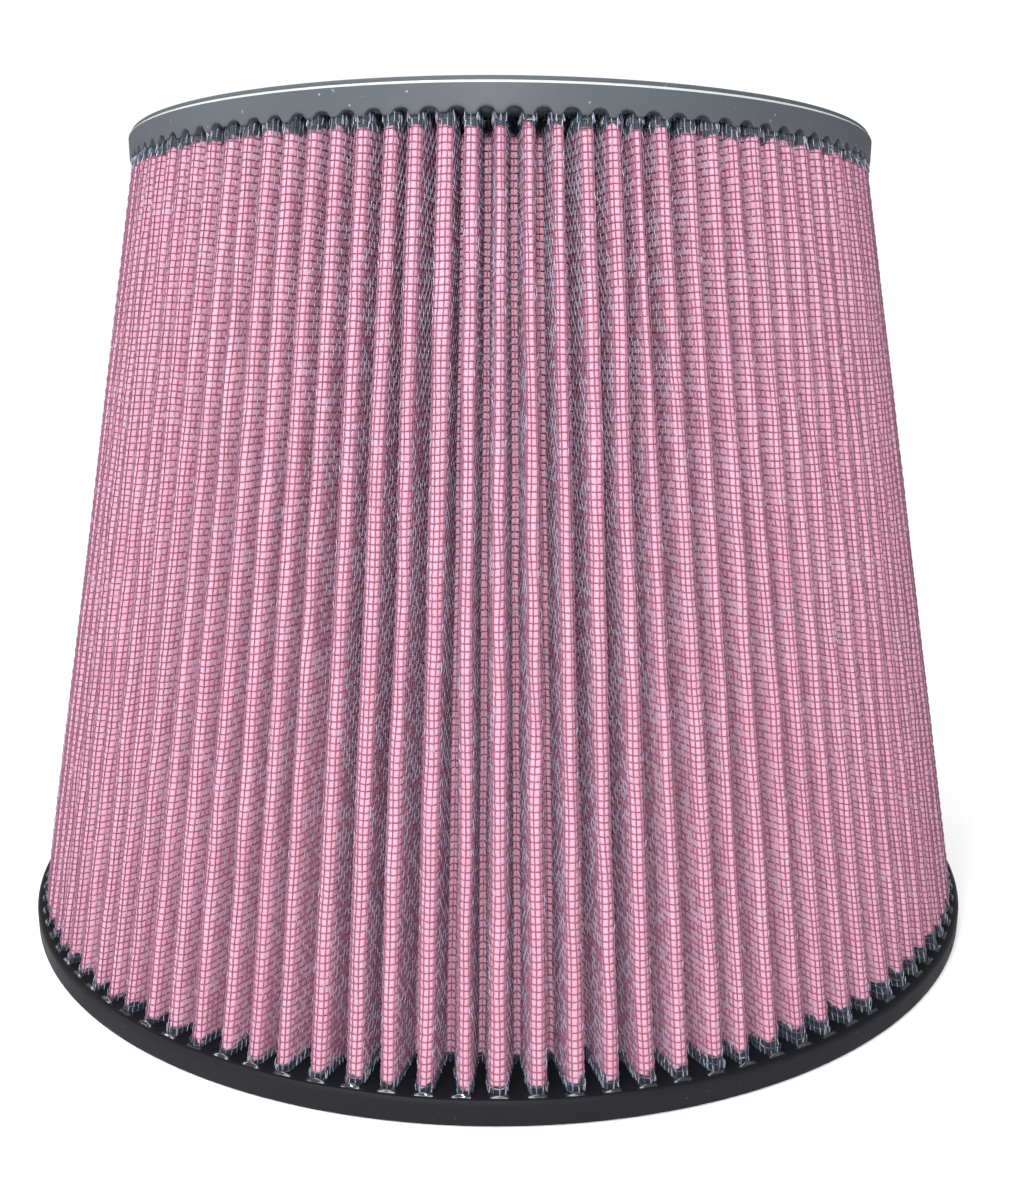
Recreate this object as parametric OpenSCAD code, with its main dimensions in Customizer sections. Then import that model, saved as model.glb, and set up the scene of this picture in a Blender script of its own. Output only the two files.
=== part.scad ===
// Round tapered air filter: a pleated cotton-gauze and wire-cloth blanket
// potted between a closed moulded top cap and a moulded base ring.
// Origin: centre of the resting face. +Z runs up the filter's axis.

/* [Overall] */
// Height from the resting face to the highest point of the top cap
total_h = 214.6; // [150:0.2:280]
// Outer diameter of the base ring
base_d = 280; // [240:1:320]
// Outer diameter of the top cap
top_d = 204; // [190:1:236]

/* [Pleats] */
// Number of pleats round the filter
pleats = 108; // [90:2:110]
// Radial depth of a pleat, outer tip to outer valley
pleat_depth = 12.5; // [9:0.5:14]
// Width of a pleat's outer tip at the base ring
tip_w_base = 3.6; // [3.2:0.1:4]
// Width of a pleat's outer tip at the top cap
tip_w_top = 3.1; // [3:0.1:3.2]
// Width of the open valley floor at the base ring
valley_w_base = 1.2; // [0.8:0.1:1.6]
// Width of the open valley floor at the top cap
valley_w_top = 1; // [0.6:0.1:1.1]
// How far the pleat tips stand inside the rim of the base ring
base_inset = 2; // [1:0.25:4]
// How far the pleat tips stand inside the rim of the top cap
top_inset = 0.7; // [0.5:0.1:2]

/* [Blanket layers] */
// Thickness of each wire screen
screen_t = 0.3; // [0.2:0.02:0.3]
// Thickness of each gauze ply
ply_t = 0.16; // [0.1:0.02:0.16]
// Clearance between neighbouring layers
layer_gap = 0.02; // [0.01:0.01:0.03]

/* [Top cap] */
// Height of the top cap's side band
top_h = 6; // [5:0.5:10]
// Radius of the top cap's rounded upper edge
top_edge_r = 2; // [1:0.25:2.5]
// Width of the raised rim round the top face
top_rim_w = 12; // [8:1:20]
// Depth of the flat panel inside that rim
top_panel_drop = 0.8; // [0.4:0.1:1.2]
// Diameter of the stiffener plate under the top cap
plate_d = 168; // [120:1:170]
// Thickness of the stiffener plate
plate_t = 1.2; // [0.8:0.1:1.5]

/* [Base ring] */
// Height of the base ring
base_h = 6; // [6:0.5:12]
// Diameter of the outlet bore
bore_d = 228.6; // [180:0.1:230]
// Radius of the base ring's upper outer edge
base_edge_r = 1.2; // [0.5:0.1:1.5]
// Depth of the potting well that the pleats stand in
well_depth = 1; // [0.5:0.1:1.5]
// Radius of the base ring's lower outer edge
base_foot_r = 0.8; // [0.3:0.1:1.2]
// Depth of the sealing groove in the resting face
groove_drop = 1.6; // [1:0.1:2]
// Width of the sealing groove
groove_w = 12; // [10:1:14]
// Section radius of each sealing bead in the groove
bead_r = 1.4; // [0.8:0.1:1.5]

/* [Seam clip] */
// Sheet thickness of the seam clip
clip_t = 0.35; // [0.3:0.05:0.4]
// Height of the seam clip's legs
clip_leg = 3; // [2:0.5:4]

/* [Hidden] */

// Circles are fine enough to read as round
round_fn = 180;
small_fn = 32;

// The blanket stands in the base ring's well and ends under the top cap
blanket_z0 = base_h - well_depth;
blanket_z1 = total_h - top_h;
pitch_angle = 360 / pleats;

// Radius at the middle of the groove, and its two beads
groove_r = (bore_d + base_d) / 4;
bead_offset = groove_w / 4;

// Depth below the outer face at which each layer starts
ply_step = ply_t + layer_gap;
first_ply = screen_t + layer_gap;
inner_start = first_ply + 4 * ply_step;
blanket_t = inner_start + screen_t;

// A stop for the clip's ends, and its clearance from the blanket
clip_end_gap = 0.5;
clip_gap = 0.2;
seam_angle = 90;

// Room round the blanket in the well
well_outer_gap = 0.2;
well_inner_gap = 0.8;
well_r1 = base_d / 2 - base_inset + well_outer_gap;
well_r0 = base_d / 2 - base_inset - pleat_depth - blanket_t - well_inner_gap;

// Part of the way up the blanket, 0 at the base ring and 1 at the top cap
function up(z) = (z - blanket_z0) / (blanket_z1 - blanket_z0);
function between(a, b, s) = a + (b - a) * s;

// Radius of the blanket's outer tips at height z
function tip_r(z) = between(base_d / 2 - base_inset, top_d / 2 - top_inset, up(z));
// Half widths of an outer tip and of a valley floor at height z
function tip_half(z) = between(tip_w_base, tip_w_top, up(z)) / 2;
function valley_half(z) = between(valley_w_base, valley_w_top, up(z)) / 2;

// Angle between a pleat's flank and the radius through it
function flank_angle(z) =
    let (mid_r = tip_r(z) - pleat_depth / 2,
         half_pitch = mid_r * PI / pleats)
    atan((half_pitch - tip_half(z) - valley_half(z)) / pleat_depth);

// How much a corner moves sideways for each unit of depth below the face
function corner_shift(z) = tan(45 - flank_angle(z) / 2);

// Point at radius r, moved sideways by x, at the angle a
function polar(r, x, a, z) = [r * cos(a) - x * sin(a), r * sin(a) + x * cos(a), z];

// The zigzag outline of the blanket at height z and depth t below its outer face
function outline(z, t) =
    let (r = tip_r(z) - t,
         tip = tip_half(z) - t * corner_shift(z),
         valley = valley_half(z) + t * corner_shift(z))
    [for (i = [0 : pleats - 1])
        let (a = i * pitch_angle, b = a + pitch_angle / 2)
        each [polar(r, -tip, a, z), polar(r, tip, a, z),
              polar(r - pleat_depth, -valley, b, z), polar(r - pleat_depth, valley, b, z)]];

// Triangles of the band between two closed rings of n points
function band(n, first, second) =
    [for (i = [0 : n - 1])
        let (j = (i + 1) % n)
        each [[first + i, second + i, second + j], [first + i, second + j, first + j]]];

// The same triangles facing the other way
function turned(faces) = [for (f = faces) [f[0], f[2], f[1]]];

// One pleated layer, from depth t0 to depth t1 below the blanket's outer face
module pleated_layer(t0, t1) {
    n = 4 * pleats;
    points = concat(
        outline(blanket_z0, t0), outline(blanket_z1, t0),
        outline(blanket_z0, t1), outline(blanket_z1, t1));
    // Both walls are split along the same diagonals, so a thin layer keeps its thickness
    faces = concat(
        band(n, 0, n), turned(band(n, 2 * n, 3 * n)),
        band(n, 2 * n, 0), band(n, n, 3 * n));
    polyhedron(points = points, faces = faces, convexity = 10);
}

module gauze_ply(index) {
    start = first_ply + (index - 1) * ply_step;
    pleated_layer(start, start + ply_t);
}

module outer_screen() {
    color([0.36, 0.24, 0.30])
    pleated_layer(0, screen_t);
}

module gauze_ply_1() {
    color([0.93, 0.55, 0.66])
    gauze_ply(1);
}

module gauze_ply_2() {
    color([0.91, 0.52, 0.63])
    gauze_ply(2);
}

module gauze_ply_3() {
    color([0.89, 0.49, 0.60])
    gauze_ply(3);
}

module gauze_ply_4() {
    color([0.87, 0.46, 0.57])
    gauze_ply(4);
}

module inner_screen() {
    color([0.36, 0.24, 0.30])
    pleated_layer(inner_start, blanket_t);
}

// Closed cap: a disc with a rounded rim, a sunk panel above and a plate pocket below
module top_cap() {
    r = top_d / 2;
    panel_r = r - top_rim_w;
    color([0.24, 0.25, 0.27])
    difference() {
        translate([0, 0, blanket_z1])
        rotate_extrude($fn = round_fn)
        difference() {
            union() {
                square([r - top_edge_r, top_h]);
                square([r, top_h - top_edge_r]);
                translate([r - top_edge_r, top_h - top_edge_r]) circle(top_edge_r, $fn = small_fn);
            }
            translate([-1, top_h - top_panel_drop]) square([panel_r + 1, top_h]);
            mirror([1, 0]) square([r, top_h]);
        }
        translate([0, 0, blanket_z1 - 1])
        cylinder(h = plate_t + 1, d = plate_d, $fn = round_fn);
    }
}

// Sheet-metal disc bonded into the underside of the top cap
module top_stiffener_plate() {
    color([0.62, 0.64, 0.66])
    translate([0, 0, blanket_z1])
    cylinder(h = plate_t, d = plate_d, $fn = round_fn);
}

// Ring with rounded outer edges, a potting well above, a beaded sealing groove below
// and a plain outlet bore
module base_ring() {
    r = base_d / 2;
    color([0.07, 0.07, 0.08])
    difference() {
        rotate_extrude($fn = round_fn)
        union() {
            difference() {
                union() {
                    translate([0, base_foot_r]) square([r, base_h - base_foot_r - base_edge_r]);
                    square([r - base_edge_r, base_h]);
                    translate([r - base_edge_r, base_h - base_edge_r]) circle(base_edge_r, $fn = small_fn);
                    translate([r - base_foot_r, base_foot_r]) circle(base_foot_r, $fn = small_fn);
                }
                translate([r - base_foot_r, -1]) square([base_foot_r + 1, 1]);
                translate([r - base_edge_r, -1]) square([base_edge_r + 1, 1]);
                translate([groove_r - groove_w / 2, -1]) square([groove_w, groove_drop + 1]);
                translate([well_r0, blanket_z0]) square([well_r1 - well_r0, well_depth + 1]);
            }
            for (side = [-1, 1])
                translate([groove_r + side * bead_offset, groove_drop])
                circle(bead_r, $fn = small_fn);
        }
        translate([0, 0, -1]) cylinder(h = base_h + 2, d = bore_d, $fn = round_fn);
    }
}

// Channel outline over one inner fold of the blanket at height z
function clip_outline(z) =
    let (fold_r = tip_r(z) - pleat_depth - blanket_t - clip_gap,
         fold = valley_half(z) + (blanket_t + clip_gap) * corner_shift(z),
         flare = clip_leg * tan(flank_angle(z)),
         a = seam_angle + pitch_angle / 2)
    [for (p = [[fold_r - clip_t, -fold - clip_t], [fold_r - clip_t, fold + clip_t],
               [fold_r + clip_leg, fold + clip_t + flare], [fold_r + clip_leg, fold + flare],
               [fold_r, fold], [fold_r, -fold],
               [fold_r + clip_leg, -fold - flare], [fold_r + clip_leg, -fold - clip_t - flare]])
        polar(p[0], p[1], a, z)];

// Folded strip that grips the blanket's two ends where they meet
module seam_clip() {
    points = concat(clip_outline(blanket_z0 + clip_end_gap), clip_outline(blanket_z1 - clip_end_gap));
    lower_face = [[0, 1, 5], [1, 4, 5], [1, 2, 3], [1, 3, 4], [0, 5, 6], [0, 6, 7]];
    upper_face = [for (f = turned(lower_face)) [for (v = f) v + 8]];
    color([0.70, 0.71, 0.72])
    polyhedron(points = points, faces = concat(lower_face, upper_face, band(8, 0, 8)), convexity = 4);
}

top_cap();
top_stiffener_plate();
base_ring();
outer_screen();
gauze_ply_1();
gauze_ply_2();
gauze_ply_3();
gauze_ply_4();
inner_screen();
seam_clip();
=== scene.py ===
"""Looks for a round tapered air filter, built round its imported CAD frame.

Lengths are metres in the row frame: the origin is the centre of the resting face, +Z runs up the
axis and -Y faces the camera. The wire cloth is woven as real wires, sheet and wires from one function.
"""

import math

import bpy
import numpy as np
from mathutils import Matrix, Vector


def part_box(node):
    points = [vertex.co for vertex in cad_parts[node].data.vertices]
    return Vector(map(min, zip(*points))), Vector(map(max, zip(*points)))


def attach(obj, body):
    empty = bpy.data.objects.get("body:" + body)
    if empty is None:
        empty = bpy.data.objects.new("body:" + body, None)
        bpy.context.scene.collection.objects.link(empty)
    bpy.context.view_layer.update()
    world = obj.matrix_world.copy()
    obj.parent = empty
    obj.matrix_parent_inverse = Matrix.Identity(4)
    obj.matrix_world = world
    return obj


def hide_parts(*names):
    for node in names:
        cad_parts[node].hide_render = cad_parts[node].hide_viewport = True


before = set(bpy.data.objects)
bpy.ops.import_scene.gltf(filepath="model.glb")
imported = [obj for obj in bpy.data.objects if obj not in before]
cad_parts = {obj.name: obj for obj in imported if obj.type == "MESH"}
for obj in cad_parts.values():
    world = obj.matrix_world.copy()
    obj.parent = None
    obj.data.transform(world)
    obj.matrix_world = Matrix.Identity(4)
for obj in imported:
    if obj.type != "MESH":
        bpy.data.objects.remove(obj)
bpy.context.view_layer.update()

MM = 0.001
TURN = 2 * math.pi

# Camera: where it stands, how it is turned, and its focal length on a 36 mm long side
CAMERA_AT = (0.0, -0.3583, 0.1622)
CAMERA_PITCH_DOWN = math.radians(12.55)
CAMERA_YAW = 0.0089
CAMERA_ROLL = 0.0037
CAMERA_LENS = 35.29
CAMERA_SENSOR = 36.0

# Sizes that the CAD gives
ring_lo, ring_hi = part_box("base_ring")
cap_lo, cap_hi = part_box("top_cap")
sheet_lo, sheet_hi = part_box("outer_screen")
RING_R = ring_hi.x
RING_H = ring_hi.z
CAP_R = cap_hi.x
CAP_Z0 = cap_lo.z
CAP_Z1 = cap_hi.z
SHEET_Z0 = sheet_lo.z
SHEET_Z1 = sheet_hi.z
BASE_TIP_R = RING_R - 2 * MM
TOP_TIP_R = CAP_R - 0.7 * MM
BORE_R = 114.3 * MM
PLATE_R = 84 * MM
PLATE_T = 1.2 * MM

# The pleats
PLEATS = 108
PLEAT_DEPTH = 12.5 * MM
TIP_HALF = (1.8 * MM, 1.55 * MM)
VALLEY_HALF = (0.6 * MM, 0.5 * MM)
# Rounded folds shorten a pleat's path.
SEAM_ANGLE = TURN / 4 + TURN / PLEATS / 2
PITCH = TURN / PLEATS

# The wire cloth: about 19 wires to the inch round the sheet, 16 up it
STATIONS = 21
ROWS = 130
WIRE_R = 0.155 * MM
WIRE_DEPTH = 0.28 * MM
WEAVE = 0.14 * MM
SECTORS = 12

# Depth of each sheet below the blanket's outer face
GAUZE_DEPTHS = (0.46 * MM, 0.72 * MM, 0.88 * MM, 1.04 * MM)
INNER_SCREEN_DEPTH = 1.2 * MM


# ---------------------------------------------------------------- small helpers


def between(pair, s):
    return pair[0] + (pair[1] - pair[0]) * s


def smoothstep(x):
    x = np.clip(x, 0, 1)
    return x * x * (3 - 2 * x)


def mesh_object(name, points, faces, materials, slots=None):
    """A smooth mesh from arrays of points and equal-sided faces, riding on the part's one body."""
    sides = faces.shape[1]
    mesh = bpy.data.meshes.new(name)
    mesh.vertices.add(len(points))
    mesh.vertices.foreach_set("co", points.astype(np.float32).ravel())
    mesh.loops.add(faces.size)
    mesh.loops.foreach_set("vertex_index", faces.astype(np.int32).ravel())
    mesh.polygons.add(len(faces))
    mesh.polygons.foreach_set("loop_start", np.arange(0, faces.size, sides, dtype=np.int32))
    for material in materials:
        mesh.materials.append(material)
    if slots is not None:
        mesh.polygons.foreach_set("material_index", slots.astype(np.int32).ravel())
    mesh.update(calc_edges=True)
    mesh.shade_smooth()
    piece = bpy.data.objects.new(name, mesh)
    bpy.context.scene.collection.objects.link(piece)
    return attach(piece, "root")


def grid_faces(rows, columns, closed=False):
    """Quads of a rows x columns grid of points, facing outwards when columns run anticlockwise and rows up."""
    i = np.arange(rows - 1)[:, None]
    j = np.arange(columns if closed else columns - 1)[None, :]
    k = (j + 1) % columns
    corners = [i * columns + j, i * columns + k, (i + 1) * columns + k, (i + 1) * columns + j]
    return np.stack([np.broadcast_to(c, (rows - 1, j.shape[1])) for c in corners], -1).reshape(-1, 4)


def attribute(piece, name, values):
    """A per-point number or vector that a material can read."""
    kind = "FLOAT_VECTOR" if values.ndim == 2 else "FLOAT"
    field = "vector" if values.ndim == 2 else "value"
    layer = piece.data.attributes.new(name, kind, "POINT")
    layer.data.foreach_set(field, values.astype(np.float32).ravel())


# ---------------------------------------------------------------- materials


def node(tree, kind, inputs=None, output=0, **settings):
    """Adds a shader node and returns one of its outputs. Inputs are values or other nodes' outputs."""
    made = tree.nodes.new("ShaderNode" + kind)
    for key, value in settings.items():
        setattr(made, key, value)
    for key, value in (inputs or {}).items():
        if isinstance(value, bpy.types.NodeSocket):
            tree.links.new(value, made.inputs[key])
        else:
            made.inputs[key].default_value = value
    return made.outputs[output]


def math_node(tree, operation, a, b=0.0):
    return node(tree, "Math", {0: a, 1: b}, operation=operation)


def noise(tree, scale, detail=3.0, roughness=0.5, where=None):
    coords = where or node(tree, "TexCoord", output="Object")
    return node(
        tree, "TexNoise", {"Vector": coords, "Scale": scale, "Detail": detail, "Roughness": roughness}
    )


def ramp(tree, value, low, high, start=0.0, end=1.0):
    """value from low..high mapped to start..end, and held there outside it."""
    return node(tree, "MapRange", {0: value, 1: low, 2: high, 3: start, 4: end})


def mix(tree, share, a, b, blend="MIX"):
    made = tree.nodes.new("ShaderNodeMix")
    made.data_type = "RGBA"
    made.blend_type = blend
    for index, value in ((0, share), (6, a), (7, b)):
        if isinstance(value, bpy.types.NodeSocket):
            tree.links.new(value, made.inputs[index])
        else:
            made.inputs[index].default_value = (*value, 1.0) if isinstance(value, tuple) else value
    return made.outputs[2]


def material(name, **sockets):
    """A Principled material with these values set on its own sockets."""
    made = bpy.data.materials.new(name)
    made.use_nodes = True
    shader = made.node_tree.nodes["Principled BSDF"]
    for key, value in sockets.items():
        socket = shader.inputs[key.replace("_", " ")]
        socket.default_value = (*value, 1.0) if isinstance(value, tuple) else value
    return made, made.node_tree, shader


def drive(tree, shader, key, value):
    tree.links.new(value, shader.inputs[key])


def bump(tree, shader, height, strength=1.0):
    drive(tree, shader, "Normal", node(tree, "Bump", {"Height": height, "Distance": 1.0, "Strength": strength}))


def scaled(tree, value, size):
    return math_node(tree, "MULTIPLY", value, size)


def added(tree, *values):
    total = values[0]
    for value in values[1:]:
        total = math_node(tree, "ADD", total, value)
    return total


def gauze_material(name, light, deep):
    """Oiled cotton gauze: pillows between the wires, with painted shade along the wires over the pressed gauze
    there, fine threads, oil mottling, and resin-wet ends with painted light where they near the cap.
    """
    made, tree, shader = material(name, Roughness=0.72, Sheen_Weight=0.15, Sheen_Roughness=0.5)
    lattice = node(tree, "Attribute", output="Vector", attribute_name="lattice")
    axes = tree.nodes.new("ShaderNodeSeparateXYZ")
    tree.links.new(lattice, axes.inputs[0])
    humps, threads = [], []
    for axis in (0, 1):
        part = math_node(tree, "FRACT", axes.outputs[axis])
        hump = math_node(tree, "MULTIPLY", part, math_node(tree, "SUBTRACT", 1.0, part))
        humps.append(scaled(tree, hump, 4.0))
        turns = scaled(tree, axes.outputs[axis], TURN * 4)
        threads.append(math_node(tree, "SINE", turns))
    pillow = math_node(tree, "MULTIPLY", *humps)
    weave = math_node(tree, "ADD", *threads)
    patches = noise(tree, 70.0, 4.0, 0.6)
    mottle = noise(tree, 900.0, 3.0, 0.6)
    colour = mix(tree, ramp(tree, patches, 0.35, 0.65), light, deep)
    colour = mix(tree, ramp(tree, mottle, 0.35, 0.75, 0.0, 0.45), colour, deep)
    # Painted shade: the gauze darkens beside each wire, partly the wires' shadow on it and partly pressed, oiled
    # gauze.
    colour = mix(tree, ramp(tree, pillow, 0.0, 0.6, 0.42, 0.0), colour, tuple(c * 0.6 for c in deep))
    soak = node(tree, "Attribute", output="Fac", attribute_name="soak")
    edge = added(tree, soak, ramp(tree, noise(tree, 420.0, 2.0), 0.3, 0.7, -0.9, 0.9))
    place = tree.nodes.new("ShaderNodeSeparateXYZ")
    tree.links.new(node(tree, "TexCoord", output="Object"), place.inputs[0])
    # Painted light: the resin-wet gauze turns from near black to slate towards the cap, where more light reaches.
    painted_light_near_cap = ramp(tree, place.outputs[2], CAP_Z0 - 8 * MM, CAP_Z0 - 5 * MM)
    wet = mix(tree, painted_light_near_cap, (0.008, 0.0105, 0.017), (0.035, 0.043, 0.05))
    colour = mix(tree, ramp(tree, edge, -0.25, 0.35), colour, wet)
    drive(tree, shader, "Base Color", colour)
    height = added(tree, scaled(tree, pillow, 0.13 * MM), scaled(tree, weave, 0.012 * MM))
    bump(tree, shader, added(tree, height, scaled(tree, mottle, 0.06 * MM)))
    return made


def wire_material(name, colour, roughness, coat):
    """Epoxy-coated or resin-wet wire: one colour, with the coating's slight unevenness."""
    made, tree, shader = material(name, Base_Color=colour, Roughness=roughness, Coat_Weight=coat)
    shader.inputs["Specular IOR Level"].default_value = 0.2
    shader.inputs["Coat Roughness"].default_value = 0.12
    bump(tree, shader, scaled(tree, noise(tree, 2600.0, 2.0), 0.03 * MM))
    return made


def urethane_material(name, colour, pale, roughness, specks, gloss):
    """Moulded urethane: slow colour drift, an eggshell skin, dust specks and hairline scratches."""
    made, tree, shader = material(name, Specular_IOR_Level=gloss)
    coords = node(tree, "TexCoord", output="Object")
    drift = noise(tree, 26.0, 4.0, 0.55, coords)
    skin = noise(tree, 1500.0, 3.0, 0.6, coords)
    cells = node(tree, "TexVoronoi", {"Vector": coords, "Scale": 260.0, "Randomness": 1.0})
    dust = ramp(tree, cells, 0.035, 0.075, specks, 0.0)
    stretched = node(
        tree, "Mapping", {"Vector": coords, "Rotation": (0.4, 0.9, 0.3), "Scale": (26.0, 1300.0, 600.0)}
    )
    scratch = ramp(tree, noise(tree, 1.0, 2.0, 0.5, stretched), 0.735, 0.77, 0.0, specks * 0.5)
    colour = mix(tree, ramp(tree, drift, 0.3, 0.7), colour, tuple(c * 1.18 for c in colour))
    colour = mix(tree, math_node(tree, "MAXIMUM", dust, scratch), colour, pale)
    drive(tree, shader, "Base Color", colour)
    drive(tree, shader, "Roughness", ramp(tree, drift, 0.3, 0.7, roughness * 0.85, roughness * 1.15))
    bump(tree, shader, added(tree, scaled(tree, skin, 0.02 * MM), scaled(tree, drift, 0.15 * MM)))
    return made


def metal_material(name, colour):
    """Brushed sheet aluminium."""
    made, tree, shader = material(name, Metallic=1.0)
    coords = node(tree, "TexCoord", output="Object")
    grain = node(tree, "Mapping", {"Vector": coords, "Scale": (900.0, 900.0, 14.0)})
    lines = noise(tree, 1.0, 3.0, 0.6, grain)
    drive(tree, shader, "Base Color", mix(tree, ramp(tree, lines, 0.3, 0.7), colour, tuple(c * 0.8 for c in colour)))
    drive(tree, shader, "Roughness", ramp(tree, lines, 0.3, 0.7, 0.28, 0.45))
    bump(tree, shader, scaled(tree, lines, 0.02 * MM))
    return made


def screen_sheet_material(name, wire, gauze):
    """The inner wire cloth over its gauze, drawn on one sheet."""
    made, tree, shader = material(name, Roughness=0.5)
    lattice = node(tree, "Attribute", output="Vector", attribute_name="lattice")
    axes = tree.nodes.new("ShaderNodeSeparateXYZ")
    tree.links.new(lattice, axes.inputs[0])
    ridges = []
    for axis in (0, 1):
        off = math_node(tree, "PINGPONG", axes.outputs[axis], 0.5)
        ridges.append(ramp(tree, off, 0.08, 0.13, 1.0, 0.0))
    wires = math_node(tree, "MAXIMUM", *ridges)
    drift = noise(tree, 300.0, 3.0)
    cloth = mix(tree, ramp(tree, drift, 0.3, 0.7), gauze, tuple(c * 0.8 for c in gauze))
    drive(tree, shader, "Base Color", mix(tree, wires, cloth, wire))
    bump(tree, shader, scaled(tree, wires, 0.15 * MM))
    return made


PLUM = (0.27, 0.12, 0.19)
# Grey wire: a little wear, and mostly painted sheen on wires seen at a glancing angle inside the pleats.
WORN_AND_SHEEN = (0.36, 0.3, 0.4)
WET = (0.08, 0.10, 0.145)
BARE = (0.36, 0.38, 0.46)
wire_plum = wire_material("coated_wire", PLUM, 0.6, 0.0)
wire_worn_and_sheen = wire_material("coated_wire_worn_and_sheen", WORN_AND_SHEEN, 0.4, 0.25)
wire_wet = wire_material("resin_wet_wire", WET, 0.22, 0.4)
wire_bare = wire_material("bare_wire_ends", BARE, 0.25, 0.4)
gauze_outer = gauze_material("oiled_gauze", (0.755, 0.385, 0.495), (0.69, 0.31, 0.415))
gauze_inner = gauze_material("oiled_gauze_under", (0.74, 0.37, 0.48), (0.66, 0.29, 0.4))
inner_cloth = screen_sheet_material("inner_wire_cloth", PLUM, (0.82, 0.36, 0.48))
cap_side = urethane_material("cap_urethane", (0.065, 0.071, 0.082), (0.5, 0.52, 0.5), 0.55, 0.5, 0.25)
# Painted highlight: a pale glossy band along the cap's upper shoulder.
cap_painted_highlight = urethane_material("cap_urethane_painted_highlight", (0.42, 0.45, 0.44), (0.9, 0.9, 0.9), 0.3, 0.5, 0.5)
# Painted light: a paler colour for the cap's shaded underside between the pleats.
cap_underside_painted_light = urethane_material("cap_urethane_underside_painted_light", (0.2, 0.235, 0.255), (0.5, 0.52, 0.5), 0.5, 0.0, 0.3)
ring_side = urethane_material("ring_urethane", (0.009, 0.009, 0.0115), (0.12, 0.13, 0.14), 0.65, 0.45, 0.14)
ring_pool = urethane_material("ring_urethane_pool", (0.006, 0.0065, 0.008), (0.1, 0.11, 0.12), 0.4, 0.15, 0.12)
ring_foot = urethane_material("ring_urethane_meniscus", (0.02, 0.022, 0.026), (0.5, 0.52, 0.55), 0.12, 0.5, 1.0)
plate_metal = metal_material("plate_aluminium", (0.6, 0.62, 0.64))
clip_metal = metal_material("clip_aluminium", (0.68, 0.69, 0.7))


# ---------------------------------------------------------------- the pleated blanket


def pleat_curves(seed, s, at_base, at_top, ripple):
    """One smooth random curve up each pleat, as levels x pleats, fading out beside the seam."""
    rng = np.random.default_rng(seed)
    ends = rng.normal(0, 1, (2, PLEATS)) * [[at_base], [at_top]]
    curve = ends[0] + (ends[1] - ends[0]) * s
    for k in (1, 2, 3, 5):
        size = rng.normal(0, ripple / k**0.7, PLEATS)
        curve = curve + size * np.sin(TURN * k * 0.7 * s + rng.uniform(0, TURN, PLEATS))
    i = np.arange(PLEATS)
    from_seam = np.minimum(i, PLEATS - 1 - i)
    return curve * (1 - np.exp(-((from_seam / 2.5) ** 2)))


def rounded(corner, before, after, cut):
    """Points on a quadratic curve that cuts a corner."""
    inward = corner + cut * (before - corner) / abs(before - corner)
    outward = corner + cut * (after - corner) / abs(after - corner)
    u = np.linspace(0, 1, 9)
    parts = [(1 - u) ** 2 * inward[..., None], 2 * u * (1 - u) * corner[..., None], u**2 * outward[..., None]]
    return sum(parts)


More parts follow.
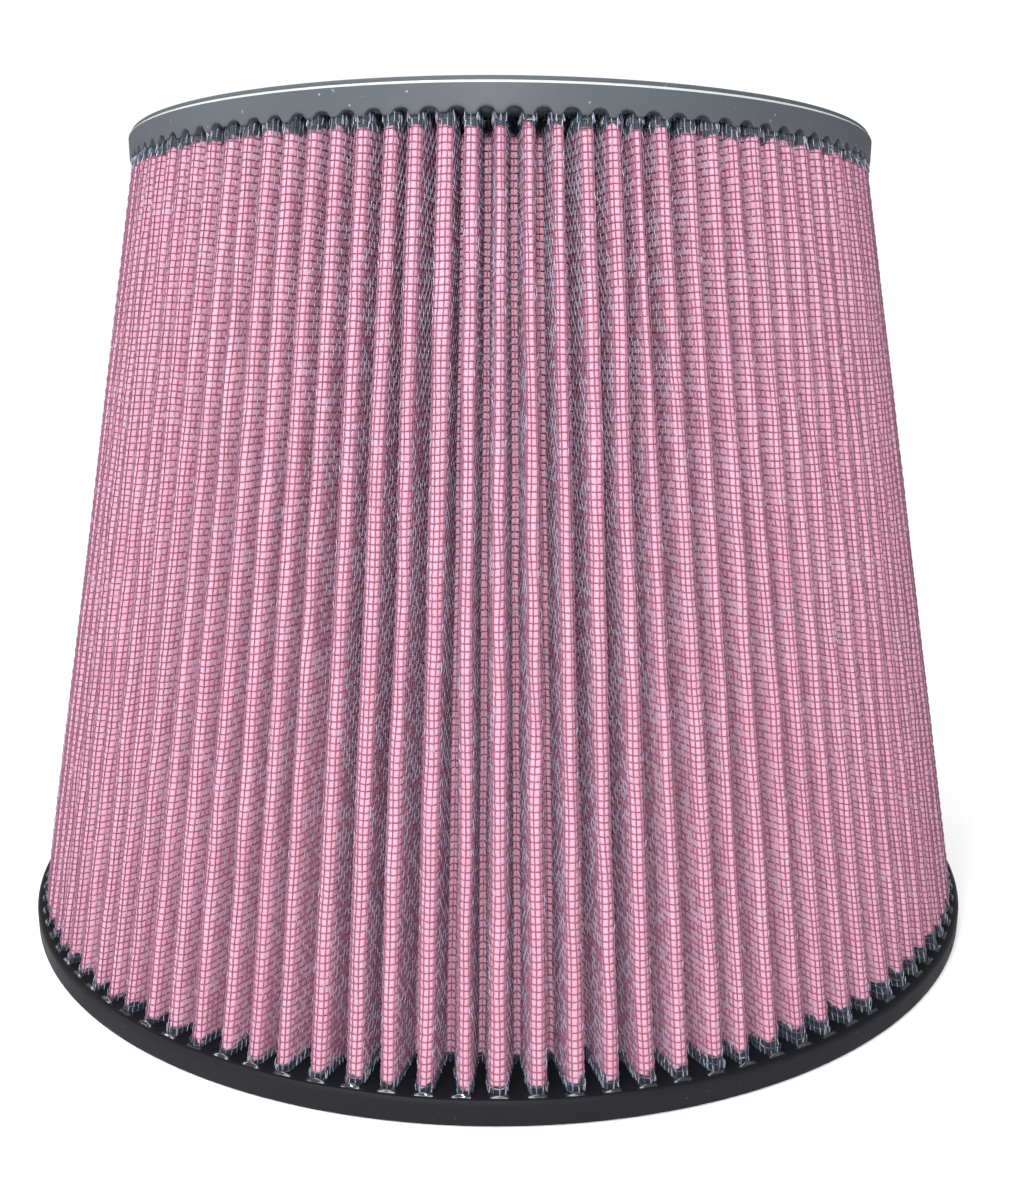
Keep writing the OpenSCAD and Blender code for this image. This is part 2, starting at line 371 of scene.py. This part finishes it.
def blanket(levels, depth, per_pleat):
    """Points of the pleated sheet, depth below its outer face, as levels x stations x 3.

    The stations start and end at the seam, and neighbours are equally far apart along the sheet.
    """
    s = np.asarray(levels)[:, None]
    radius = between((BASE_TIP_R, TOP_TIP_R), s)
    half_pitch = (radius - PLEAT_DEPTH / 2) * PITCH / 2
    tip_half, valley_half = between(TIP_HALF, s), between(VALLEY_HALF, s)
    flank = np.arctan((half_pitch - tip_half - valley_half) / PLEAT_DEPTH)
    shift = depth * np.tan(TURN / 8 - flank / 2)

    i = np.arange(PLEATS)
    tip_r = radius - depth + pleat_curves(11, s, 0.1 * MM, 0.05 * MM, 0.06 * MM)
    tip_angle = SEAM_ANGLE + PITCH * (i + 0.5) + pleat_curves(12, s, 0.36 * MM, 0.2 * MM, 0.16 * MM) / radius
    tip = tip_half * (1 + pleat_curves(13, s, 0.1, 0.08, 0.05)) - shift
    valley_r = radius - PLEAT_DEPTH - depth + pleat_curves(14, s, 0.3 * MM, 0.2 * MM, 0.1 * MM)
    valley_angle = SEAM_ANGLE + PITCH * (i + 1) + pleat_curves(15, s, 0.3 * MM, 0.2 * MM, 0.12 * MM) / radius
    valley_angle[:, -1] = SEAM_ANGLE + TURN
    valley = valley_half * (1 + pleat_curves(16, s, 0.12, 0.1, 0.05)) + shift

    def turned(r, x, angle):
        return (r + 1j * x) * np.exp(1j * angle)

    def last(values):
        return np.roll(values, 1, axis=1)

    floor_1 = turned(valley_r, 0, valley_angle)
    corner_4 = turned(valley_r, -valley, valley_angle)
    corner_1 = turned(last(valley_r), last(valley), last(valley_angle))
    corner_2 = turned(tip_r, -tip, tip_angle)
    corner_3 = turned(tip_r, tip, tip_angle)
    tip_cut, valley_cut = 0.9 * tip, 0.85 * valley
    line = np.concatenate(
        [
            last(floor_1)[..., None],
            rounded(corner_1, last(floor_1), corner_2, last(valley_cut)),
            rounded(corner_2, corner_1, corner_3, tip_cut),
            rounded(corner_3, corner_2, corner_4, tip_cut),
            rounded(corner_4, corner_3, floor_1, valley_cut),
            floor_1[..., None],
        ],
        axis=-1,
    )
    along = np.concatenate([np.zeros(line.shape[:2] + (1,)), np.cumsum(abs(np.diff(line)), -1)], -1)
    m = np.arange(per_pleat + 1)
    phase = np.random.default_rng(17).uniform(-0.5, 0.5, PLEATS)[:, None] * STATIONS / 21
    share = (m + phase * per_pleat / STATIONS * np.sin(np.pi * m / per_pleat) ** 2) / per_pleat
    points = np.empty((len(s), PLEATS, per_pleat), complex)
    for level in range(len(s)):
        for p in range(PLEATS):
            length = along[level, p, -1]
            points[level, p] = np.interp(share[p, :-1] * length, along[level, p], line[level, p])
    flat = points.reshape(len(s), -1)
    flat = np.concatenate([flat, flat[:, :1]], axis=1)
    height = between((SHEET_Z0, SHEET_Z1), s) + np.zeros(flat.shape)
    return np.stack([flat.real, flat.imag, height], -1)


def unit(vectors):
    return vectors / np.linalg.norm(vectors, axis=-1, keepdims=True)


def directions(points):
    """Unit vectors out of the sheet, round it and up it, at each of its points."""
    wrapped = np.concatenate([points[:, -2:-1], points, points[:, 1:2]], axis=1)
    across = wrapped[:, 2:] - wrapped[:, :-2]
    up = np.gradient(points, axis=0)
    return unit(np.cross(across, up)), unit(across), unit(up)


def drift(levels, stations):
    """How far wires wander from their even places, in cells, round the sheet and up it."""
    rng = np.random.default_rng(21)
    s = np.asarray(levels)[:, None]
    x = np.arange(stations + 1)[None, :] / stations * PLEATS * STATIONS
    sideways = np.zeros((len(s), x.shape[1]))
    upward = np.zeros_like(sideways)
    for _ in range(14):
        wave, rise, phase = rng.integers(20, 400), rng.uniform(0.5, 9), rng.uniform(0, TURN)
        sideways += 0.035 * np.sin(TURN * wave * x / (PLEATS * STATIONS) + TURN * rise * s + phase)
        wave, rise, phase = rng.integers(4, 160), rng.uniform(0.5, 7), rng.uniform(0, TURN)
        upward += 0.055 * np.sin(TURN * wave * x / (PLEATS * STATIONS) + TURN * rise * s + phase)
    inside = np.sin(np.pi * np.clip(s, 0, 1)) ** 0.25
    return sideways * inside, upward * inside


def soak(points):
    """Signed millimetres that a point lies inside the resin-wet zone at either end of the pleats."""
    angle = np.arctan2(points[..., 1], points[..., 0])
    rng = np.random.default_rng(31)
    wobble = sum(
        rng.normal(0, 0.5) * np.sin(angle * k + rng.uniform(0, TURN)) for k in (3, 5, 9, 17, 31, 52, 77, 108, 131)
    )
    lower_right = np.exp(-(((angle + 0.8) / 0.5) ** 2))
    base = 2.4 + 2.4 * lower_right + 0.35 * wobble
    top = 3.6 + 0.25 * wobble
    z = points[..., 2]
    return np.maximum(base - (z - SHEET_Z0) / MM, top - (SHEET_Z1 - z) / MM)


row_levels = (np.arange(ROWS) + 0.5) / ROWS
ring_levels = np.concatenate([[0.0], row_levels, [1.0]])
crossings = blanket(ring_levels, WIRE_DEPTH, STATIONS)
out, across, up = directions(crossings)
row_gap = (SHEET_Z1 - SHEET_Z0) / ROWS
sideways, upward = drift(ring_levels, PLEATS * STATIONS)
station_gap = np.linalg.norm(np.diff(crossings, axis=1), axis=-1).mean()
jitter = np.random.default_rng(22).normal(0, 0.05, crossings.shape[1])
jitter[-1] = jitter[0]
crossings = crossings + across * ((sideways + jitter) * station_gap)[..., None]
crossings[1:-1] += up[1:-1] * (upward[1:-1] * row_gap)[..., None]

parity = (np.add.outer(np.arange(ROWS + 2), np.arange(PLEATS * STATIONS + 1)) % 2) * 2 - 1
lift = (out * (WEAVE * parity)[..., None]) * np.ones(3)
warp_at = crossings + lift
weft_at = (crossings - lift)[1:-1]


def tubes(centres, outward, radius):
    """Three-sided wires through rows of centres: an array of points and its quads."""
    path = unit(np.gradient(centres, axis=1))
    outward = unit(outward - path * (outward * path).sum(-1, keepdims=True))
    side = np.cross(path, outward)
    ring = [outward, side * 0.866 - outward * 0.5, -side * 0.866 - outward * 0.5]
    points = centres[:, :, None] + radius * np.stack(ring, 2)
    wires, rings = centres.shape[:2]
    w = np.arange(wires)[:, None, None] * rings * 3
    r = np.arange(rings - 1)[None, :, None] * 3
    q = np.arange(3)[None, None, :]
    k = (q + 1) % 3
    faces = np.stack([w + r + q, w + r + k, w + r + 3 + k, w + r + 3 + q], -1)
    return points.reshape(-1, 3), faces.reshape(-1, 4)


def wire_slots(centres, seed, worn_and_sheen_share, bare_share):
    """Which wire material each stretch of wire has: plum, worn-and-sheen grey, resin-wet or bare end.

    The grey is a little random wear everywhere, and painted sheen inside the pleats, where the wires are seen at a
    glancing angle; the tips keep their plum colour.
    """
    rng = np.random.default_rng(seed)
    middle = (centres[:, 1:] + centres[:, :-1]) / 2
    tip_r = between((BASE_TIP_R, TOP_TIP_R), (middle[..., 2] - SHEET_Z0) / (SHEET_Z1 - SHEET_Z0))
    inside = smoothstep((tip_r - np.hypot(middle[..., 0], middle[..., 1])) / (2.2 * MM) - 0.3)
    # Painted sheen: the grey wire material is far more likely inside the pleats than on the tips.
    slots = (rng.random(middle.shape[:2]) < worn_and_sheen_share * (0.08 + inside)).astype(int)
    wet = soak(middle) + rng.normal(0, 0.35, middle.shape[:2])
    slots[wet > 0.0] = 2
    slots[(wet > 0.2) & (rng.random(wet.shape) < bare_share)] = 3
    return np.repeat(slots.ravel(), 3)


wire_materials = [wire_plum, wire_worn_and_sheen, wire_wet, wire_bare]
per_sector = PLEATS * STATIONS // SECTORS
for sector in range(SECTORS):
    first = sector * per_sector
    columns = slice(first, first + per_sector)
    centres = warp_at[:, columns].transpose(1, 0, 2)
    points, faces = tubes(centres, out[:, columns].transpose(1, 0, 2), WIRE_R)
    slots = wire_slots(centres, 100 + sector, 0.55, 0.35)
    warp = mesh_object(f"outer_screen_warp_{sector + 1:02d}", points, faces, wire_materials, slots)
    columns = slice(first, first + per_sector + 1)
    centres = weft_at[:, columns]
    points, faces = tubes(centres, out[1:-1, columns], WIRE_R)
    slots = wire_slots(centres, 200 + sector, 0.06, 0.02)
    weft = mesh_object(f"outer_screen_weft_{sector + 1:02d}", points, faces, wire_materials, slots)
    for piece in (warp, weft):
        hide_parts("outer_screen")


def sheet(name, depth, per_pleat, level_count, sheet_material):
    """One ply of the blanket as a pleated sheet that carries the wires' lattice and its wet zones."""
    levels = np.linspace(0, 1, level_count)
    points = blanket(levels, depth, per_pleat)
    columns = points.shape[1]
    cells = np.arange(columns) * STATIONS / per_pleat
    ahead, above = drift(levels, PLEATS * per_pleat)
    rows = levels[:, None] * ROWS - 0.5
    lattice = np.stack([cells + 0 * rows - ahead, rows + 0 * cells - above, 0 * rows + 0 * cells], -1)
    piece = mesh_object(name, points.reshape(-1, 3), grid_faces(level_count, columns), [sheet_material])
    attribute(piece, "lattice", lattice.reshape(-1, 3))
    attribute(piece, "soak", soak(points).ravel())
    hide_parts(name)
    return piece


plies = [sheet("gauze_ply_1", GAUZE_DEPTHS[0], STATIONS, 42, gauze_outer)]
for index, depth in enumerate(GAUZE_DEPTHS[1:]):
    plies.append(sheet(f"gauze_ply_{index + 2}", depth, 12, 20, gauze_inner))
sheet("inner_screen", INNER_SCREEN_DEPTH, 12, 20, inner_cloth)


# ---------------------------------------------------------------- frayed wire ends


def frayed_ends(name, z_low, z_high, level_at, count, seed):
    """Short cut ends of wire that stand out of the resin where a row of the cloth has frayed."""
    rng = np.random.default_rng(seed)
    total = count * PLEATS
    levels = (np.array([z_low, z_high]) - SHEET_Z0) / (SHEET_Z1 - SHEET_Z0)
    spots = blanket(levels, 0.1 * MM, STATIONS)
    outward = directions(spots)[0]
    place = rng.integers(0, PLEATS, total) * STATIONS + np.clip(
        np.round(rng.normal(STATIONS / 2, 3.0, total)), 0, STATIONS - 1
    ).astype(int)
    low, high = spots[0, place], spots[1, place]
    lean = rng.normal(0, 0.14 * MM, (total, 3)) * [1, 1, 0]
    start = low + (high - low) * rng.uniform(0.0, 0.15, (total, 1))
    end = low + (high - low) * rng.uniform(0.45, 1.0, (total, 1)) + lean
    bow = outward[0, place] * rng.uniform(0.05, 0.35, (total, 1)) * MM
    if level_at == "top":
        start, end = end - lean, start + lean
    u = np.linspace(0, 1, 4)[None, :, None]
    centres = start[:, None] * (1 - u) + end[:, None] * u + bow[:, None] * np.sin(np.pi * u * 0.75)
    facing = np.broadcast_to(outward[0, place][:, None], centres.shape)
    points, faces = tubes(centres, facing, 0.085 * MM)
    slots = np.repeat((rng.random(total) < 0.55).astype(int), 9)
    piece = mesh_object(name, points, faces, [wire_wet, wire_bare], slots)


frayed_ends("base_frayed_ends", RING_H - 0.6 * MM, RING_H + 2.6 * MM, "base", 15, 41)
frayed_ends("top_frayed_ends", CAP_Z0 - 3.0 * MM, CAP_Z0 - 0.1 * MM, "top", 15, 42)


# ---------------------------------------------------------------- moulded ends


def arc(centre, radius, start, end, steps=8):
    """Points of an arc in the r-z plane, with angles in degrees."""
    angles = np.radians(np.linspace(start, end, steps))
    return [(centre[0] + radius * math.cos(a), centre[1] + radius * math.sin(a)) for a in angles]


def lathe(name, outline, per_pleat, shape, materials, slot_of, node_name):
    """A closed solid of revolution whose points shape() then moves, so that it follows the pleats."""
    outline = np.array(outline)
    columns = PLEATS * per_pleat
    angle = SEAM_ANGLE + TURN * np.arange(columns) / columns
    r = outline[:, 0][:, None] + np.zeros(columns)
    z = outline[:, 1][:, None] + np.zeros(columns)
    r, z = shape(r, z, angle[None, :])
    points = np.stack([r * np.cos(angle), r * np.sin(angle), z], -1)
    faces = grid_faces(len(outline), columns, closed=True)
    if outline[0, 0] > 0:
        wrap = np.arange(columns)
        ends = (len(outline) - 1) * columns
        ahead = (wrap + 1) % columns
        faces = np.concatenate([faces, np.stack([ends + wrap, ends + ahead, ahead, wrap], -1)])
    index = np.arange(len(faces))
    row = np.minimum(index // columns, len(outline) - 1)
    offset = (index % columns + 0.5) / per_pleat % 1 - 0.5
    slots = slot_of(outline[row, 0], outline[row, 1], offset)
    piece = mesh_object(name, points.reshape(-1, 3), faces, materials, slots)
    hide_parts(node_name)
    return piece


def pleat_place(angle):
    """Distance from the nearest tip's centre, in pitches from -0.5 to 0.5, and that tip's number."""
    place = (angle - SEAM_ANGLE) / PITCH
    tip = np.floor(place)
    return place - tip - 0.5, tip.astype(int) % PLEATS


rng = np.random.default_rng(51)
cap_lip = rng.normal(0, 0.12 * MM, PLEATS)
arch_height = 1.45 * MM + rng.normal(0, 0.12 * MM, PLEATS)
pool_lip = np.abs(rng.normal(0.75 * MM, 0.25 * MM, PLEATS))


def cap_shape(r, z, angle):
    """Lowers the cap's lip over each pleat tip and leaves a rounded arch between tips."""
    offset, tip = pleat_place(angle + 0.12 * MM / CAP_R)
    beyond = np.clip((0.5 - abs(offset)) / 0.33, 0, 1)
    arch = np.sqrt(np.clip(1 - beyond**2, 0, 1))
    drop = arch_height[tip] * (1 - arch) + cap_lip[tip] * (1 - arch)
    lip = smoothstep((r - (CAP_R - 3.4 * MM)) / (0.8 * MM)) * smoothstep((CAP_Z0 + 1.6 * MM - z) / (1.6 * MM))
    sag = (0.025 * MM * np.sin(3 * angle + 1.0) + 0.02 * MM * np.sin(7 * angle)) * (r / CAP_R) ** 4
    return r, z - drop * lip + sag * (z > CAP_Z0 + 2 * MM)


PANEL_R = CAP_R - 12 * MM
PANEL_Z = CAP_Z1 - 0.8 * MM
cap_outline = [
    (0.0005 * MM, CAP_Z0 + PLATE_T),
    (0.2 * MM, CAP_Z0 + PLATE_T),
    (PLATE_R * 0.5, CAP_Z0 + PLATE_T),
    (PLATE_R - 0.2 * MM, CAP_Z0 + PLATE_T),
    (PLATE_R, CAP_Z0 + PLATE_T - 0.2 * MM),
    (PLATE_R, CAP_Z0 + 0.2 * MM),
    (PLATE_R + 0.3 * MM, CAP_Z0),
    (CAP_R - 6 * MM, CAP_Z0),
    (CAP_R - 3.6 * MM, CAP_Z0),
    (CAP_R - 3.0 * MM, CAP_Z0),
    (CAP_R - 2.6 * MM, CAP_Z0),
    *[(CAP_R - x * MM, CAP_Z0) for x in (1.9, 1.3, 0.8)],
    *arc((CAP_R - 0.45 * MM, CAP_Z0 + 0.45 * MM), 0.45 * MM, -90, 0, 6),
    (CAP_R, CAP_Z0 + 0.9 * MM),
    (CAP_R, CAP_Z0 + 1.4 * MM),
    (CAP_R, CAP_Z0 + 2.6 * MM),
    *arc((CAP_R - 0.5 * MM, CAP_Z1 - 1.65 * MM), 0.5 * MM, 0, 40, 5),
    *arc((CAP_R - 0.35 * MM, CAP_Z1 - 0.8 * MM), 0.3 * MM, 220, 180, 4),
    (CAP_R - 0.65 * MM, CAP_Z1 - 0.6 * MM),
    *arc((CAP_R - 1.2 * MM, CAP_Z1 - 0.5 * MM), 0.5 * MM, 12, 90, 6),
    (CAP_R - 4 * MM, CAP_Z1),
    (PANEL_R + 1.6 * MM, CAP_Z1),
    *[(PANEL_R + 0.8 * MM - 0.8 * MM * u, CAP_Z1 - 0.8 * MM * (3 * u * u - 2 * u**3)) for u in (0.0, 0.25, 0.5, 0.75, 1.0)],
    (PANEL_R - 2 * MM, PANEL_Z),
    (PANEL_R * 0.66, PANEL_Z),
    (PANEL_R * 0.33, PANEL_Z),
    (0.2 * MM, PANEL_Z),
    (0.0005 * MM, PANEL_Z),
]


def cap_slots(r, z, offset):
    """A painted highlight as a pale band on the shoulder below the upper edge, and painted light as a paler
    underside of the cap between the pleats, where shade falls.
    """
    # Painted highlight: the shoulder's faces get the pale material.
    edge = (abs(z - (CAP_Z1 - 1.45 * MM)) < 0.13 * MM) & (r > CAP_R - 1 * MM)
    # Painted light: the cap's underside between the pleats gets the paler colour, lifting the shade there.
    pool = (z < CAP_Z0 + 0.05 * MM) & (r > PLATE_R) & (r < CAP_R - 2.8 * MM)
    return edge + 2 * pool


lathe("top_cap", cap_outline, 12, cap_shape, [cap_side, cap_painted_highlight, cap_underside_painted_light], cap_slots, "top_cap")

POOL_Z = RING_H - 0.35 * MM
WELL_IN = BASE_TIP_R - PLEAT_DEPTH - 3 * MM


def ring_shape(r, z, angle):
    """Raises a meniscus of urethane round the foot of each pleat, over a slightly uneven pool."""
    offset, tip = pleat_place(angle)
    pitch_at = r * PITCH
    sideways = abs(offset) * pitch_at
    top_side = (z > RING_H - 1.3 * MM) & (r > WELL_IN - 1 * MM)
    foot = np.exp(-(((r - BASE_TIP_R - 0.1 * MM) / (0.4 * MM)) ** 2)) * np.exp(-((sideways / (1.9 * MM)) ** 2))
    inward = np.clip((BASE_TIP_R - r) / PLEAT_DEPTH, 0, 1)
    flank = 1.8 * MM + inward * (pitch_at / 2 - 2.4 * MM)
    climb = 0.4 * MM * np.exp(-(((sideways - flank) / (0.45 * MM)) ** 2)) * (r < BASE_TIP_R)
    uneven = 0.05 * MM * np.sin(5 * angle + 0.4) + 0.06 * MM * np.sin(29 * angle) * np.sin(r * 900)
    rise = (pool_lip[tip] * foot + climb + uneven) * top_side
    return r, z + rise


def ring_slots(r, z, offset):
    """The pool is smoother than the moulded side, and the meniscus at each tip's foot is glossy."""
    pool = (z > RING_H - 0.6 * MM) & (r < RING_R - 0.3 * MM)
    foot = pool & (abs(r - BASE_TIP_R - 0.3 * MM) < 0.45 * MM) & (abs(offset) < 0.22)
    return pool.astype(int) + foot


FOOT = 0.8 * MM
EDGE = 1.2 * MM
GROOVE_MID = (BORE_R + RING_R) / 2
GROOVE_HALF = 6 * MM
GROOVE_Z = 1.6 * MM
BEAD_R = 1.4 * MM
ring_outline = [
    (BORE_R, 0.3 * MM),
    (BORE_R + 0.3 * MM, 0.0),
    (GROOVE_MID - GROOVE_HALF - 0.2 * MM, 0.0),
    (GROOVE_MID - GROOVE_HALF, 0.2 * MM),
    (GROOVE_MID - GROOVE_HALF, GROOVE_Z),
    *arc((GROOVE_MID - GROOVE_HALF / 2, GROOVE_Z), BEAD_R, 180, 360, 9),
    *arc((GROOVE_MID + GROOVE_HALF / 2, GROOVE_Z), BEAD_R, 180, 360, 9),
    (GROOVE_MID + GROOVE_HALF, GROOVE_Z),
    (GROOVE_MID + GROOVE_HALF, 0.2 * MM),
    (GROOVE_MID + GROOVE_HALF + 0.2 * MM, 0.0),
    *arc((RING_R - FOOT, FOOT), FOOT, -90, 0, 6),
    (RING_R, RING_H / 2),
    *arc((RING_R - EDGE, RING_H - EDGE), EDGE, 0, 82, 8),
    *[(RING_R - EDGE - x * MM, POOL_Z + 0.28 * MM - 0.1 * MM * x) for x in (0.05, 0.2, 0.35, 0.5, 0.65, 0.8, 1.0, 1.2, 1.5, 1.9, 2.5)],
    *[(BASE_TIP_R - x * MM, POOL_Z) for x in np.linspace(2.6, 15.5, 19)],
    (WELL_IN - 0.6 * MM, POOL_Z + 0.15 * MM),
    (WELL_IN - 1.4 * MM, RING_H),
    (BORE_R + 0.4 * MM, RING_H),
    (BORE_R, RING_H - 0.4 * MM),
    (BORE_R, RING_H / 2),
]
lathe("base_ring", ring_outline, 12, ring_shape, [ring_side, ring_pool, ring_foot], ring_slots, "base_ring")

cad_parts["top_stiffener_plate"].data.materials.clear()
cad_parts["top_stiffener_plate"].data.materials.append(plate_metal)
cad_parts["seam_clip"].data.materials.clear()
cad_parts["seam_clip"].data.materials.append(clip_metal)


# ---------------------------------------------------------------- camera, floor and light

camera_data = bpy.data.cameras.new("camera")
camera_data.lens = CAMERA_LENS
camera_data.sensor_width = CAMERA_SENSOR
camera_data.clip_start = 0.01
camera = bpy.data.objects.new("camera", camera_data)
bpy.context.scene.collection.objects.link(camera)
level = math.cos(CAMERA_PITCH_DOWN)
forward = Vector((level * math.sin(CAMERA_YAW), level * math.cos(CAMERA_YAW), -math.sin(CAMERA_PITCH_DOWN)))
right = forward.cross(Vector((0, 0, 1))).normalized()
axes = Matrix((right, right.cross(forward), -forward)).transposed().to_4x4()
camera.matrix_world = Matrix.Translation(CAMERA_AT) @ axes @ Matrix.Rotation(CAMERA_ROLL, 4, "Z")
bpy.context.scene.camera = camera

floor_material, tree, shader = material("floor", Roughness=0.9, Specular_IOR_Level=0.1)
paper = noise(tree, 30.0, 3.0)
drive(tree, shader, "Base Color", mix(tree, paper, (0.9, 0.9, 0.9), (0.92, 0.92, 0.92)))
floor_mesh = bpy.data.meshes.new("floor")
reach = 6.0
floor_mesh.from_pydata([(-reach, -reach, 0), (reach, -reach, 0), (reach, reach, 0), (-reach, reach, 0)], [], [(0, 1, 2, 3)])
floor_mesh.materials.append(floor_material)
floor = bpy.data.objects.new("floor", floor_mesh)
bpy.context.scene.collection.objects.link(floor)


def lamp(name, kind, at, target, energy, colour=(1, 1, 1), **settings):
    data = bpy.data.lights.new(name, kind)
    data.energy = energy
    data.color = colour
    for key, value in settings.items():
        setattr(data, key, value)
    made = bpy.data.objects.new(name, data)
    bpy.context.scene.collection.objects.link(made)
    made.location = at
    made.rotation_mode = "QUATERNION"
    made.rotation_quaternion = (Vector(target) - Vector(at)).to_track_quat("-Z", "Y")


middle = (0, 0, 0.1)
lamp("key", "AREA", (-0.4, -0.9, 0.45), middle, 2.3, shape="DISK", size=0.1)
lamp("front", "AREA", (-0.015, -0.56, 0.37), middle, 2.2, shape="DISK", size=0.1)
lamp("left_light", "AREA", (-1.3, -0.15, 0.7), middle, 5.0, shape="DISK", size=0.5)
lamp("right_light", "AREA", (1.2, -0.7, 0.6), middle, 0.3, shape="DISK", size=0.5)
lamp("ceiling", "SUN", (-0.2, -0.1, 1), (0, 0, 0), 2.78, angle=math.radians(50))

# The room is white to the eye, and its light on the part is softer than that
world = bpy.data.worlds.new("world")
bpy.context.scene.world = world
world.use_nodes = True
sky = world.node_tree
room = sky.nodes["Background"]
room.inputs["Color"].default_value = (0.96, 0.98, 1.0, 1.0)
room.inputs["Strength"].default_value = 0.3
seen = node(sky, "Background", {"Color": (1.0, 1.0, 1.0, 1.0), "Strength": 1.05})
path = node(sky, "LightPath")
blend = node(sky, "MixShader", {0: path, 1: room.outputs[0], 2: seen})
sky.links.new(blend, sky.nodes["World Output"].inputs["Surface"])
bpy.context.scene.view_settings.view_transform = "Standard"
